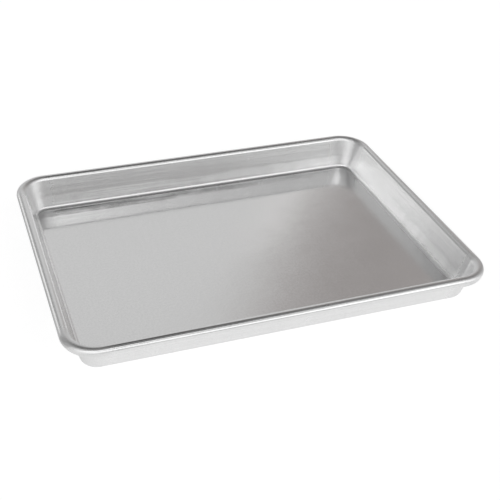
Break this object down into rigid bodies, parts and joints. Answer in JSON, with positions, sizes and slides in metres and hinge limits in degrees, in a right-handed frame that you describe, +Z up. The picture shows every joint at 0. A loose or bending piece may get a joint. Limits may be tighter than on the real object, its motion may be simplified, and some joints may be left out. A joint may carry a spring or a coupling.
{
  "type": "jelly roll pan",
  "caption": "Shallow oblong metal baking tray with sloping walls, rounded corners and a thick rim rolled outwards over a steel wire.",
  "frame": {"origin": "middle of the underside, on the surface that the pan stands on", "axes": "+X along the pan's length, +Y along its width, +Z up"},
  "size_m": [0.328, 0.241, 0.028],
  "materials": {
    "aluminium_sheet": "satin rolled sheet",
    "galvanised_wire": "dull zinc"
  },
  "bodies": {
    "root": {"pan_sheet": "aluminium_sheet", "rim_wire": "galvanised_wire"}
  },
  "joints": []
}
